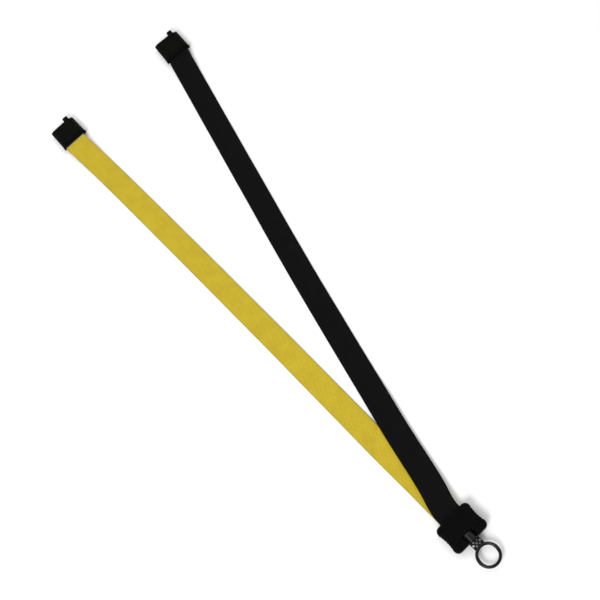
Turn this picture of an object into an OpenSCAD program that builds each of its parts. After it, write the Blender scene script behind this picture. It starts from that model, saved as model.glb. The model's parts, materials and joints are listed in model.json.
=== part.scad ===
// Twin webbing tether: two flat straps leave one grip block, and a swivelling ring turns in its other end.
// The block lies with its back on Z = 0 and its centre on the Z axis. The straps run towards +Y.

/* [Webbing] */
// Width of both straps
webbing_width = 25; // [20:0.5:30]
// Thickness of both straps
webbing_thickness = 1.6; // [1.2:0.1:2]
// Free height left between the straps where the black one lies on the yellow one
strap_gap = 0.4; // [0.3:0.1:1]

/* [Grip block] */
// Material beside the webbing on each side of the block
block_side = 7.5; // [7:0.5:10]
// Length of the block from the ring end to the strap end
block_length = 30; // [29:0.5:38]
// Thickness of the block, front to back
block_thickness = 12.4; // [11.6:0.2:15]
// Radius of the block's corners
block_corner = 5; // [4:0.5:6]
// Height of the raised panel on each face of the block
panel_height = 0.8; // [0.4:0.1:1]
// Depth of the waist in each side of the block
grip_depth = 0.9; // [0.4:0.1:1.5]
// Spacing of the finger grooves in the waist
grip_pitch = 2.9; // [2.4:0.1:3.4]
// Diameter of the pins that go through both strap ends
strap_pin_d = 3; // [2.4:0.2:4]

/* [Ring] */
// Outer diameter of the ring
ring_od = 24.2; // [20:0.2:32]
// Diameter of the ring's round band
ring_band = 3.1; // [2.6:0.1:4]
// Free length of the lattice neck between the block and the ring
neck_length = 6.3; // [5.8:0.1:9]
// Width of the lattice neck
neck_width = 11.6; // [11:0.1:12]
// Thickness of the lattice neck
neck_thickness = 2.6; // [2:0.1:4]
// Diameter of the swivel stem inside the block
stem_d = 5; // [4:0.2:6]

/* [End clips] */
// Half of what a clip is wider than the webbing
clip_side = 2.5; // [2.4:0.1:4]
// Length of a clip from the strap's mouth to its far end
clip_length = 26; // [26:0.5:32]
// Thickness of a clip, front to back
clip_thickness = 9; // [8.6:0.2:11]
// Size of the bevel along all edges of a clip
clip_bevel = 3; // [2:0.1:3.2]
// Width of the coupling peg
peg_width = 6; // [5:0.2:7]
// Thickness of the coupling peg
peg_thickness = 4; // [3.4:0.1:4.2]
// Length of the coupling peg outside the clip
peg_length = 4.8; // [4:0.1:6]

/* [Layout] */
// Place of the black clip's mouth along X
black_clip_x = 147; // [146:0.5:148]
// Place of the black clip's mouth along Y
black_clip_y = 567; // [565:1:571]
// Turn of the black clip, clockwise from above
black_clip_turn = 6; // [2:1:10]
// Place of the yellow clip's mouth along X
yellow_clip_x = 1.5; // [1:0.5:2.5]
// Place of the yellow clip's mouth along Y
yellow_clip_y = 578; // [576:1:584]
// Turn of the yellow clip, clockwise from above
yellow_clip_turn = 2; // [0:1:4]

/* [Hidden] */
$fn = 64;
eps = 0.01;                        // overshoot of a cut through a face
slack = 0.1;                       // clearance of a seated piece in its pocket
swivel_gap = 0.3;                  // clearance round the turning swivel drum
running_fit = 0.05;                // radial clearance of a turning stem
press_slack = 0.02;                // radial clearance of a driven pin or screw

// Block
block_width = webbing_width + 2 * block_side;
block_mid = block_thickness / 2;   // parting plane, and the height of the swivel's axis
panel_inset = 1.4;                 // how far the raised panel stays inside the outline
strap_x = 0.5;                     // both straps enter a little to the right of the middle
strap_rise = (webbing_thickness + strap_gap) / 2;  // half the height between the two straps
grip_half = 9;                     // half the length of the waist
grip_radius = (grip_half * grip_half + grip_depth * grip_depth) / (2 * grip_depth);
groove_r = 0.85;
groove_bite = 0.45;                // depth of a finger groove
groove_count = 6;
channel_depth = 17;                // how far the straps reach into the block
channel_half_h = strap_rise + webbing_thickness / 2 + slack;
mouth_flare = 0.5;                 // extra height of the flared mouth on each side
mouth_flare_depth = 1.5;
strap_pin_y = block_length / 2 - 10;
strap_pin_pitch = webbing_width / 3;
strap_pin_length = block_thickness - 4;
screw_inset = 4.4;                 // from the block's sides and ends to a screw's axis
screw_shank_r = 1.1;
screw_head_r = 2.1;
screw_head_h = 1.6;
screw_recess = 2;                  // depth of the recess for a screw's head
screw_length = block_thickness - 4.2;

// Ring and swivel
drum_r = block_mid - 0.3;          // the drum stays just inside both faces
drum_length = 7.3;
notch_half = max(drum_r, neck_width / 2) + swivel_gap;
washer_h = 0.8;
washer_r = 4.6;
notch_depth = drum_length + washer_h + 2 * slack;
drum_y = -block_length / 2;        // outer end of the drum, flush with the block
stem_r = stem_d / 2;
flange_r = stem_r + 1.6;
flange_h = 1.8;
stem_wall = 2.2;                   // wall between the notch and the flange's groove
ring_r = (ring_od - ring_band) / 2;
ring_y = -block_length / 2 - neck_length - ring_od / 2;
eye_r = ring_od / 2 - ring_band + 0.2;   // the eye's round land, cut 0.2 into the band
lattice_pitch = 4.1;
lattice_row = 2.15;
lattice_y = -block_length / 2 - 3.6;
lattice_hole = 1.7;                // side of the diamond holes in the middle row
lattice_small_hole = 1.15;         // side of the diamond holes in the outer rows

// Fold lines: a strap ends short of the fold on each side, so that it can turn there
fold_offset = 2.25;                // from a mouth to its fold line
fold_half_gap = webbing_thickness * 0.42 + 0.08;
block_fold_y = block_length / 2 + fold_offset;

// End clips, in a clip's own frame: origin at the mouth, +Y to the far end
clip_width = webbing_width + 2 * clip_side;
clip_mid = clip_thickness / 2;
clip_strap_x = -0.9;               // the webbing sits a little to the left of a clip's middle
clip_taper = 0.4;                  // each side narrows by this towards the far end
clip_corner_x = 3.5;               // cut corner beside the peg
clip_corner_y = 1.2;
clip_nick = 0.6;                   // cut corner beside the socket
lip_length = 1.6;                  // raised lip round the mouth
lip_height = 0.35;
tip_length = 14;                   // webbing inside the clip
tip_channel_h = webbing_thickness + 2 * slack;
bar_width = webbing_width - 3;
bar_length = 6;
bar_y = 4;
bar_height = 1.9;
tooth_count = 4;
tooth_height = 0.5;
clip_screw_x = 8;
clip_screw_r = 0.9;
clip_screw_head_r = 1.8;
clip_screw_head_h = 1.2;
clip_screw_recess = 1.5;
clip_screw_length = clip_thickness - 2.6;
peg_x = 7.7;                       // the peg is this far to the right, the socket as far to the left
peg_flange = 1.4;                  // the peg's foot is this much wider on each side
peg_foot_y = clip_length - 6.9;
peg_foot_h = 2.8;
clip_screw_y = peg_foot_y - 1.9;
peg_notch = 0.5;
peg_corner = 0.8;
socket_half = peg_width / 2 + 0.3;
socket_half_h = peg_thickness / 2 + 0.3;
socket_depth = peg_length + 1.4;
spring_thickness = 0.3;
spring_bow = 1.2;                  // reaches past the slot into the socket
spring_slot = 1;                   // slot beside the socket that holds the spring
spring_inset = 0.7;                // from the far end to the spring

// Heights of the two mouths that the routes below are laid out for
route_block_mid = 6.2;
route_clip_mid = 4.5;
route_middle = 300;                // points before this belong to the block's end

// Straps: [x, y, height of the underside, 1 where the strap lies over the other one]
yellow_route = [
    [0.6, 24, 4, 0], [0.6, 32, 3.1, 0], [0.7, 42, 1.9, 0], [0.8, 55, 0.7, 0], [0.7, 70, 0.1, 0],
    [0.5, 92, 0, 0], [0.5, 112, 0, 0], [0.8, 134, 0, 0], [1, 150, 0, 0], [1.2, 170, 0, 0],
    [1.4, 195, 0, 0], [1.7, 222, 0, 0], [2, 250, 0, 0], [2.1, 280, 0, 0], [2.2, 310, 0, 0],
    [2.3, 340, 0, 0], [2.4, 370, 0, 0], [2.4, 400, 0, 0], [2.4, 430, 0, 0], [2.4, 460, 0, 0],
    [2.3, 490, 0, 0], [2.1, 515, 0, 0], [1.8, 535, 0.1, 0], [1.4, 550, 1, 0], [1, 562, 2.3, 0],
    [0.7, 570, 3.3, 0]
];
black_route = [
    [1.2, 24, 4.1, 1], [3.2, 32, 3.4, 1], [6.4, 42, 2.3, 1], [9.9, 55, 1.1, 1], [13.4, 70, 0.3, 1],
    [18.3, 92, 0, 1], [23, 112, 0, 1], [28.4, 133, 0, 1], [32.8, 150, 1, 0], [37.8, 170, 0.1, 0],
    [44.1, 195, 0, 0], [51, 222, 0, 0], [58.2, 250, 0, 0], [66, 280, 0, 0], [74.1, 310, 0, 0],
    [82.3, 340, 0, 0], [90.8, 370, 0, 0], [99.2, 400, 0, 0], [107.6, 430, 0, 0], [116.1, 460, 0, 0],
    [124.5, 490, 0, 0], [131.6, 515, 0, 0], [137.2, 535, 0.3, 0], [141.5, 550, 1.7, 0],
    [144, 559, 3, 0]
];

// ---- Shared shapes

module at_black_clip() {
    translate([black_clip_x, black_clip_y, 0]) rotate([0, 0, -black_clip_turn]) children();
}

module at_yellow_clip() {
    translate([yellow_clip_x, yellow_clip_y, 0]) rotate([0, 0, -yellow_clip_turn]) children();
}

// Middle of the webbing at a distance in front of a clip's mouth
function clip_point(x, y, turn, ahead) = [
    x + clip_strap_x * cos(turn) - ahead * sin(turn),
    y - clip_strap_x * sin(turn) - ahead * cos(turn),
    clip_mid
];

// Middle of the webbing at one point of a route; its rise to the block or to a clip follows
// the height of their mouths
function route_point(p) =
    let (rise = p[1] < route_middle ? block_mid / route_block_mid : clip_mid / route_clip_mid)
    [p[0], p[1], p[2] * rise + p[3] * (webbing_thickness + strap_gap) + webbing_thickness / 2];

function strap_line(route, first, last) = concat([first], [for (p = route) route_point(p)], [last]);

// Level unit vector across the strap at point i; the two ends are set by what the strap meets
function across(line, i, end_turn) =
    i == 0 ? [1, 0, 0] :
    i == len(line) - 1 ? [cos(end_turn), -sin(end_turn), 0] :
    let (d = line[i + 1] - line[i - 1], n = norm([d[0], d[1]])) [d[1] / n, -d[0] / n, 0];

// Outline of the webbing: across, up
function webbing_section() =
    let (w = webbing_width / 2, h = webbing_thickness / 2, c = webbing_thickness / 4)
    [[w, -h + c], [w, h - c], [w - c, h], [-w + c, h], [-w, h - c], [-w, -h + c], [-w + c, -h], [w - c, -h]];

module swept_strap(line, end_turn) {
    section = webbing_section();
    sides = len(section);
    rings = len(line);
    points = [
        for (i = [0:rings - 1], s = section)
            line[i] + across(line, i, end_turn) * s[0] + [0, 0, s[1]]
    ];
    walls = [
        for (i = [0:rings - 2], k = [0:sides - 1])
            let (n = (k + 1) % sides)
            [i * sides + k, (i + 1) * sides + k, (i + 1) * sides + n, i * sides + n]
    ];
    first = [for (k = [0:sides - 1]) k];
    last = [for (k = [sides - 1:-1:0]) (rings - 1) * sides + k];
    polyhedron(points, concat(walls, [first, last]), convexity = 6);
}

// A cross recess in a screw's head, cut up from z = 0
module cross_recess(size, depth) {
    for (turn = [0, 90])
        rotate([0, 0, turn])
            translate([-size / 2, -size / 8, -eps]) cube([size, size / 4, depth + eps]);
}

// ---- Grip block

module block_outline(inset = 0) {
    half_w = block_width / 2 - inset;
    half_l = block_length / 2 - inset;
    r = block_corner - inset;
    difference() {
        union() {
            square([2 * half_w, 2 * (half_l - r)], center = true);
            square([2 * (half_w - r), 2 * half_l], center = true);
            for (sx = [-1, 1], sy = [-1, 1])
                translate([sx * (half_w - r), sy * (half_l - r)]) circle(r = r);
        }
        for (sx = [-1, 1])
            translate([sx * (half_w + grip_radius - grip_depth), 0]) circle(r = grip_radius, $fn = 180);
        if (inset == 0) finger_grooves();
    }
}

module finger_grooves() {
    for (sx = [-1, 1], i = [0:groove_count - 1]) {
        y = (i - (groove_count - 1) / 2) * grip_pitch;
        waist = grip_depth - y * y / (2 * grip_radius);
        translate([sx * (block_width / 2 - waist + groove_r - groove_bite), y]) circle(r = groove_r);
    }
}

// Everything that is cut out of both halves of the block
module block_cuts() {
    // strap channel, with a flared mouth
    translate([strap_x - webbing_width / 2 - slack, block_length / 2 - channel_depth, block_mid - channel_half_h])
        cube([webbing_width + 2 * slack, channel_depth + eps, 2 * channel_half_h]);
    translate([
        strap_x - webbing_width / 2 - mouth_flare,
        block_length / 2 - mouth_flare_depth,
        block_mid - channel_half_h - mouth_flare
    ])
        cube([webbing_width + 2 * mouth_flare, mouth_flare_depth + eps, 2 * (channel_half_h + mouth_flare)]);
    // notch for the swivel drum, and the seats of its stem and flange
    translate([-notch_half, -block_length / 2 - eps, -eps])
        cube([2 * notch_half, notch_depth + eps, block_thickness + 2 * eps]);
    translate([0, drum_y + notch_depth - eps, block_mid]) rotate([-90, 0, 0])
        cylinder(r = stem_r + running_fit, h = stem_wall + 2 * eps);
    translate([0, drum_y + notch_depth + stem_wall, block_mid]) rotate([-90, 0, 0])
        cylinder(r = flange_r + swivel_gap, h = flange_h + 2 * slack);
    // seats of the strap pins
    at_strap_pins() cylinder(r = strap_pin_d / 2 + press_slack, h = strap_pin_length + 2 * slack, center = true);
}

module at_strap_pins() {
    for (i = [-1:1]) translate([strap_x + i * strap_pin_pitch, strap_pin_y, block_mid]) children();
}

module at_block_screws() {
    for (sx = [-1, 1], sy = [-1, 1])
        translate([sx * (block_width / 2 - screw_inset), sy * (block_length / 2 - screw_inset), 0]) children();
}

module block_base() {
    color("#0b0b0b") difference() {
        union() {
            linear_extrude(panel_height + eps) block_outline(panel_inset);
            translate([0, 0, panel_height]) linear_extrude(block_mid - panel_height) block_outline();
        }
        block_cuts();
        at_block_screws() {
            translate([0, 0, -eps]) cylinder(r = screw_head_r + slack, h = screw_recess + eps);
            cylinder(r = screw_shank_r + slack, h = block_mid + eps);
        }
    }
}

module block_cover() {
    color("#0b0b0b") difference() {
        union() {
            translate([0, 0, block_mid]) linear_extrude(block_mid - panel_height) block_outline();
            translate([0, 0, block_thickness - panel_height - eps])
                linear_extrude(panel_height + eps) block_outline(panel_inset);
        }
        block_cuts();
        at_block_screws() translate([0, 0, block_mid - eps])
            cylinder(r = screw_shank_r + press_slack, h = screw_recess + screw_length - block_mid - screw_head_h + 0.5);
    }
}

module block_screws() {
    color("silver") at_block_screws() difference() {
        union() {
            translate([0, 0, screw_recess - screw_head_h]) cylinder(r = screw_head_r, h = screw_head_h);
            translate([0, 0, screw_recess - eps])
                cylinder(r = screw_shank_r, h = screw_length - screw_head_h + eps);
        }
        translate([0, 0, screw_recess - screw_head_h]) cross_recess(2.6, 0.9);
    }
}

module strap_pins() {
    color("silver") at_strap_pins() cylinder(d = strap_pin_d, h = strap_pin_length, center = true);
}

// ---- Swivel and ring, in one moulding

module lattice_holes() {
    for (i = [-1:1])
        translate([i * lattice_pitch, lattice_y]) rotate(45) square(lattice_hole, center = true);
    for (i = [-0.5, 0.5], row = [-1, 1])
        translate([i * lattice_pitch, lattice_y + row * lattice_row])
            rotate(45) square(lattice_small_hole, center = true);
}

module ring_swivel() {
    neck_end = -ring_y - ring_r;
    color("#0b0b0b") {
        // drum, stem and flange
        translate([0, drum_y, block_mid]) rotate([-90, 0, 0]) {
            cylinder(r = drum_r, h = drum_length);
            cylinder(r = stem_r, h = notch_depth + stem_wall + slack + flange_h / 2);
            translate([0, 0, notch_depth + stem_wall + slack]) cylinder(r = flange_r, h = flange_h);
        }
        // lattice neck
        translate([0, 0, block_mid - neck_thickness / 2]) linear_extrude(neck_thickness) difference() {
            translate([-neck_width / 2, -neck_end]) square([neck_width, neck_end + drum_y + 1]);
            lattice_holes();
            translate([0, ring_y]) circle(r = ring_r);
        }
        // ring
        translate([0, ring_y, block_mid]) rotate_extrude() difference() {
            translate([ring_r, 0]) circle(d = ring_band);
            translate([0, -ring_band]) square([eye_r, 2 * ring_band]);
        }
    }
}

module swivel_washer() {
    color("silver") translate([0, drum_y + drum_length + slack, block_mid]) rotate([-90, 0, 0]) difference() {
        cylinder(r = washer_r, h = washer_h);
        translate([0, 0, -eps]) cylinder(r = stem_r + running_fit, h = washer_h + 2 * eps);
    }
}

// ---- Straps

// End of a strap inside the block, at height z, with holes for the pins
module strap_end(z) {
    start = block_length / 2 - channel_depth + slack;
    difference() {
        translate([strap_x - webbing_width / 2, start, z - webbing_thickness / 2])
            cube([webbing_width, block_fold_y - fold_half_gap - start, webbing_thickness]);
        at_strap_pins() cylinder(d = strap_pin_d + 2 * slack, h = block_thickness, center = true);
    }
}

module black_strap_end() {
    color("#141414") strap_end(block_mid + strap_rise);
}

module yellow_strap_end() {
    color("#d4bf3a") strap_end(block_mid - strap_rise);
}

module black_strap() {
    first = [strap_x, block_fold_y + fold_half_gap, block_mid + strap_rise];
    last = clip_point(black_clip_x, black_clip_y, black_clip_turn, fold_offset + fold_half_gap);
    color("#141414") swept_strap(strap_line(black_route, first, last), black_clip_turn);
}

module yellow_strap() {
    first = [strap_x, block_fold_y + fold_half_gap, block_mid - strap_rise];
    last = clip_point(yellow_clip_x, yellow_clip_y, yellow_clip_turn, fold_offset + fold_half_gap);
    color("#d4bf3a") swept_strap(strap_line(yellow_route, first, last), yellow_clip_turn);
}

// Webbing from the fold line into the clip
module strap_tip() {
    start = -fold_offset + fold_half_gap;
    translate([clip_strap_x - webbing_width / 2, start, clip_mid - webbing_thickness / 2])
        cube([webbing_width, tip_length - start, webbing_thickness]);
}

module black_strap_tip() {
    color("#141414") at_black_clip() strap_tip();
}

module yellow_strap_tip() {
    color("#d4bf3a") at_yellow_clip() strap_tip();
}

// ---- End clips

// A clip from above; the lip round its mouth is the same shape, grown by the lip's height
module clip_outline(grow) {
    near = clip_width / 2 + grow;
    far = near - clip_taper;
    polygon([
        [-near, -grow], [near, -grow], [far, clip_length - clip_corner_y],
        [far - clip_corner_x, clip_length], [-far + clip_nick, clip_length], [-far, clip_length - clip_nick]
    ]);
}

// A clip from the side or from its end: a rectangle with all four corners bevelled
module clip_profile(length, grow) {
    half = length / 2 + grow;
    low = -grow;
    high = clip_thickness + grow;
    cut = clip_bevel + grow * (2 - sqrt(2));
    polygon([
        [-half + cut, low], [half - cut, low], [half, low + cut], [half, high - cut],
        [half - cut, high], [-half + cut, high], [-half, high - cut], [-half, low + cut]
    ]);
}

module clip_blank(grow = 0) {
    intersection() {
        translate([0, 0, -grow - eps]) linear_extrude(clip_thickness + 2 * (grow + eps)) clip_outline(grow);
        translate([0, clip_length + grow + eps, 0]) rotate([90, 0, 0])
            linear_extrude(clip_length + 2 * (grow + eps)) clip_profile(clip_width, grow);
        translate([-clip_width, clip_length / 2, 0]) rotate([90, 0, 90])
            linear_extrude(2 * clip_width) clip_profile(clip_length, grow);
    }
}

// One half of a clip's shell, up from the height z
module clip_half(z) {
    intersection() {
        union() {
            clip_blank();
            intersection() {
                clip_blank(lip_height);
                translate([-clip_width, 0, 0]) cube([2 * clip_width, lip_length, clip_thickness]);
            }
        }
        translate([-clip_width, -1, z]) cube([2 * clip_width, clip_length + 2, clip_mid]);
    }
}

// Everything that is cut out of both halves of a clip
module clip_cuts() {
    // webbing channel, with a flared mouth
    translate([clip_strap_x - webbing_width / 2 - slack, -eps, clip_mid - tip_channel_h / 2])
        cube([webbing_width + 2 * slack, tip_length + slack + eps, tip_channel_h]);
    translate([clip_strap_x - webbing_width / 2 - mouth_flare, -eps, clip_mid - tip_channel_h / 2 - mouth_flare])
        cube([webbing_width + 2 * mouth_flare, mouth_flare_depth, tip_channel_h + 2 * mouth_flare]);
    // pocket of the peg's foot, and the slot that its tongue leaves by
    translate([
        peg_x - peg_width / 2 - peg_flange - slack, peg_foot_y - slack, clip_mid - peg_thickness / 2 - slack
    ])
        cube([peg_width + 2 * (peg_flange + slack), peg_foot_h + 2 * slack, peg_thickness + 2 * slack]);
    translate([peg_x - peg_width / 2 - slack, peg_foot_y, clip_mid - peg_thickness / 2 - slack])
        cube([peg_width + 2 * slack, clip_length - peg_foot_y + eps, peg_thickness + 2 * slack]);
    // socket for the other clip's peg, and the slot of its latch spring
    translate([-peg_x - socket_half, clip_length - socket_depth, clip_mid - socket_half_h])
        cube([2 * socket_half, socket_depth + eps, 2 * socket_half_h]);
    translate([-peg_x + socket_half - eps, clip_length - socket_depth, clip_mid - socket_half_h])
        cube([spring_slot, socket_depth - spring_inset + slack, 2 * socket_half_h]);
}

module at_clip_screws() {
    for (sx = [-1, 1]) translate([sx * clip_screw_x, clip_screw_y, 0]) children();
}

module clip_base() {
    difference() {
        clip_half(0);
        clip_cuts();
        at_clip_screws() {
            translate([0, 0, -eps]) cylinder(r = clip_screw_head_r + slack, h = clip_screw_recess + eps);
            cylinder(r = clip_screw_r + slack, h = clip_mid + eps);
        }
    }
}

module clip_cover() {
    difference() {
        clip_half(clip_mid);
        clip_cuts();
        // pocket of the clamp bar
        translate([clip_strap_x - bar_width / 2 - slack, bar_y - slack, clip_mid])
            cube([bar_width + 2 * slack, bar_length + 2 * slack, tip_channel_h / 2 + bar_height + slack]);
        at_clip_screws() translate([0, 0, clip_mid - eps])
            cylinder(r = clip_screw_r + press_slack, h = clip_thickness - 0.9 - clip_mid);
    }
}

// Toothed bar that is pressed on the webbing when the clip is screwed shut
module clip_clamp_bar() {
    under = clip_mid + tip_channel_h / 2;
    tooth_step = bar_length / tooth_count;
    translate([clip_strap_x - bar_width / 2, bar_y, under]) {
        translate([0, 0, tooth_height]) cube([bar_width, bar_length, bar_height - tooth_height]);
        for (i = [0:tooth_count - 1])
            translate([0, i * tooth_step, 0]) rotate([90, 0, 90]) linear_extrude(bar_width)
                polygon([
                    [0, tooth_height + eps], [0, tooth_height], [tooth_step / 2, 0],
                    [tooth_step, tooth_height], [tooth_step, tooth_height + eps]
                ]);
    }
}

// Coupling peg: a foot held in the clip, and a tongue with a latch notch in each side
module clip_peg() {
    half = peg_width / 2;
    tip = clip_length + peg_length;
    notch_y = clip_length + peg_length / 2;
    translate([0, 0, clip_mid - peg_thickness / 2]) linear_extrude(peg_thickness) difference() {
        union() {
            translate([peg_x - half - peg_flange, peg_foot_y]) square([peg_width + 2 * peg_flange, peg_foot_h]);
            polygon([
                [peg_x - half, peg_foot_y], [peg_x + half, peg_foot_y], [peg_x + half, tip - peg_corner],
                [peg_x + half - peg_corner, tip], [peg_x - half + peg_corner, tip], [peg_x - half, tip - peg_corner]
            ]);
        }
        for (sx = [-1, 1])
            translate([peg_x + sx * half, notch_y]) rotate(45) square(peg_notch * sqrt(2), center = true);
    }
}

// Bowed leaf beside the socket, that snaps into the notch of the other clip's peg
module clip_latch_spring() {
    near = clip_length - socket_depth + slack;
    far = clip_length - spring_inset;
    mid = clip_length - peg_length / 2;
    back = -peg_x + socket_half + spring_slot - slack;
    t = spring_thickness;
    translate([0, 0, clip_mid - peg_thickness / 2]) linear_extrude(peg_thickness)
        polygon([
            [back, near], [back, near + 1], [back - spring_bow, mid], [back, far - 0.6], [back, far],
            [back - t, far], [back - t, far - 0.6], [back - t - spring_bow, mid], [back - t, near + 1], [back - t, near]
        ]);
}

module clip_screws() {
    at_clip_screws() difference() {
        union() {
            translate([0, 0, clip_screw_recess - clip_screw_head_h])
                cylinder(r = clip_screw_head_r, h = clip_screw_head_h);
            translate([0, 0, clip_screw_recess - eps])
                cylinder(r = clip_screw_r, h = clip_screw_length - clip_screw_head_h + eps);
        }
        translate([0, 0, clip_screw_recess - clip_screw_head_h]) cross_recess(2.2, 0.7);
    }
}

module black_clip_base() { color("#0f0f0c") at_black_clip() clip_base(); }
module black_clip_cover() { color("#0f0f0c") at_black_clip() clip_cover(); }
module black_clip_clamp_bar() { color("silver") at_black_clip() clip_clamp_bar(); }
module black_clip_peg() { color("#0f0f0c") at_black_clip() clip_peg(); }
module black_clip_latch_spring() { color("silver") at_black_clip() clip_latch_spring(); }
module black_clip_screws() { color("silver") at_black_clip() clip_screws(); }

module yellow_clip_base() { color("#0f0f0c") at_yellow_clip() clip_base(); }
module yellow_clip_cover() { color("#0f0f0c") at_yellow_clip() clip_cover(); }
module yellow_clip_clamp_bar() { color("silver") at_yellow_clip() clip_clamp_bar(); }
module yellow_clip_peg() { color("#0f0f0c") at_yellow_clip() clip_peg(); }
module yellow_clip_latch_spring() { color("silver") at_yellow_clip() clip_latch_spring(); }
module yellow_clip_screws() { color("silver") at_yellow_clip() clip_screws(); }

block_base();
block_cover();
block_screws();
strap_pins();
ring_swivel();
swivel_washer();
black_strap_end();
black_strap();
black_strap_tip();
black_clip_base();
black_clip_cover();
black_clip_clamp_bar();
black_clip_peg();
black_clip_latch_spring();
black_clip_screws();
yellow_strap_end();
yellow_strap();
yellow_strap_tip();
yellow_clip_base();
yellow_clip_cover();
yellow_clip_clamp_bar();
yellow_clip_peg();
yellow_clip_latch_spring();
yellow_clip_screws();
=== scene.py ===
import json
import math

import bmesh
import bpy
import numpy as np
from mathutils import Matrix, Vector


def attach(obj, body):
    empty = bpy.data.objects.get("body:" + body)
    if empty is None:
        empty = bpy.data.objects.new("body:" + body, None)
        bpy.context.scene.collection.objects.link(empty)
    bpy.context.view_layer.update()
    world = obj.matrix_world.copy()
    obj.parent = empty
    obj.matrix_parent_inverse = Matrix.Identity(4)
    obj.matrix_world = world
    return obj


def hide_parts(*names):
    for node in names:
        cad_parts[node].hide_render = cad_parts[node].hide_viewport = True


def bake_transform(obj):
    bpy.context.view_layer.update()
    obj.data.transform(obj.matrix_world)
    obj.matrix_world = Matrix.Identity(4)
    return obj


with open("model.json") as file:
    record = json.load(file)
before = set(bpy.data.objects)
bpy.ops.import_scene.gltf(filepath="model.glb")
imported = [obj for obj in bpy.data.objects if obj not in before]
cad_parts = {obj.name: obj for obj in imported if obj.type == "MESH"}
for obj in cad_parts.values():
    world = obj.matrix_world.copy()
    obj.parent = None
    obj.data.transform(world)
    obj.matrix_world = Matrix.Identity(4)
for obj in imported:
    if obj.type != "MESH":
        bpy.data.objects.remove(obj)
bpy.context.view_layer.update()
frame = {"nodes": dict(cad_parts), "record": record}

mm = 0.001

# camera: high over the ring end of the straps and leaning along them
view = {
    "location": (-29.7, -97.4, 1054.6),
    "target": (47.3, 269.1, 0.0),
    "roll": -33.3,  # degrees
    "angle": 30.0,
}


def makeCamera():
    data = bpy.data.cameras.new("viewCamera")
    data.angle = math.radians(view["angle"])
    data.clip_start = 0.01
    data.clip_end = 20
    camera = bpy.data.objects.new("viewCamera", data)
    bpy.context.scene.collection.objects.link(camera)
    location = Vector(view["location"]) * mm
    aim = (Vector(view["target"]) * mm - location).to_track_quat("-Z", "Y").to_matrix()
    camera.matrix_world = (
        Matrix.Translation(location)
        @ aim.to_4x4()
        @ Matrix.Rotation(math.radians(view["roll"]), 4, "Z")
    )
    bpy.context.scene.camera = camera


makeCamera()
print("camera set")


# shared helpers


def linkMesh(name, mesh):
    piece = bpy.data.objects.new(name, mesh)
    bpy.context.scene.collection.objects.link(piece)
    return piece


def shadeSmooth(mesh):
    mesh.polygons.foreach_set("use_smooth", [True] * len(mesh.polygons))


def loft(name, loops):
    # closed skin through loops of equal length, given in millimetres
    shape = bmesh.new()
    rows = [[shape.verts.new(Vector(point) * mm) for point in loop] for loop in loops]
    count = len(rows[0])
    for low, high in zip(rows, rows[1:]):
        for i in range(count):
            j = (i + 1) % count
            shape.faces.new((low[i], low[j], high[j], high[i]))
    shape.faces.new(list(reversed(rows[0])))
    shape.faces.new(rows[-1])
    bmesh.ops.recalc_face_normals(shape, faces=shape.faces)
    mesh = bpy.data.meshes.new(name)
    shape.to_mesh(mesh)
    shape.free()
    return linkMesh(name, mesh)


def applyModifiers(piece):
    bpy.context.view_layer.update()
    shown = piece.evaluated_get(bpy.context.evaluated_depsgraph_get())
    old = piece.data
    new = bpy.data.meshes.new_from_object(shown)
    new.name = old.name
    piece.modifiers.clear()
    piece.data = new
    bpy.data.meshes.remove(old)


def combine(piece, tools, operation):
    for tool in tools:
        step = piece.modifiers.new("combine", "BOOLEAN")
        step.operation = operation
        step.solver = "EXACT"
        step.object = tool
    applyModifiers(piece)
    for tool in tools:
        mesh = tool.data
        bpy.data.objects.remove(tool)
        bpy.data.meshes.remove(mesh)


def cut(piece, tools):
    combine(piece, tools, "DIFFERENCE")


def soften(piece, width, segments=3, angle=28, shortest=0.0):
    # rounds the sharp edges, as a mould does, and leaves out edges shorter than the shortest
    shadeSmooth(piece.data)
    shape = bmesh.new()
    shape.from_mesh(piece.data)
    weight = shape.edges.layers.float.new("bevel_weight_edge")
    for edge in shape.edges:
        if len(edge.link_faces) == 2 and edge.calc_length() > shortest * mm:
            edge[weight] = float(edge.calc_face_angle() > math.radians(angle))
    shape.to_mesh(piece.data)
    shape.free()
    step = piece.modifiers.new("soften", "BEVEL")
    step.width = width * mm
    step.segments = segments
    step.limit_method = "WEIGHT"
    applyModifiers(piece)
    shape = bmesh.new()
    shape.from_mesh(piece.data)
    bmesh.ops.remove_doubles(shape, verts=shape.verts, dist=0.002 * mm)
    bmesh.ops.dissolve_degenerate(shape, edges=shape.edges, dist=0.002 * mm)
    shape.to_mesh(piece.data)
    shape.free()
    piece.data.set_sharp_from_angle(angle=math.radians(50))
    step = piece.modifiers.new("evenShade", "WEIGHTED_NORMAL")
    step.keep_sharp = True
    applyModifiers(piece)


def place(piece, move, turn=0.0):
    # turn in degrees, clockwise from above
    piece.data.transform(
        Matrix.Translation(Vector(move) * mm) @ Matrix.Rotation(math.radians(-turn), 4, "Z")
    )


def rectangle(width, length, x=0.0, y=0.0, corner=0.0, steps=4):
    # level outline as (x, y) points, with round corners if corner is set
    points = []
    for sx, sy, start in ((1, -1, -90), (1, 1, 0), (-1, 1, 90), (-1, -1, 180)):
        cx = x + sx * (width / 2 - corner)
        cy = y + sy * (length / 2 - corner)
        if corner == 0:
            points.append((cx, cy))
            continue
        for k in range(steps + 1):
            angle = math.radians(start + 90 * k / steps)
            points.append((cx + corner * math.cos(angle), cy + corner * math.sin(angle)))
    return points


def prism(name, outline, low, high):
    # upright prism of a level outline
    return loft(name, [[(x, y, z) for x, y in outline] for z in (low, high)])


def circle(radius, x, y, steps):
    angles = [2 * math.pi * k / steps for k in range(steps)]
    return [(x + radius * math.cos(angle), y + radius * math.sin(angle)) for angle in angles]


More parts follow.
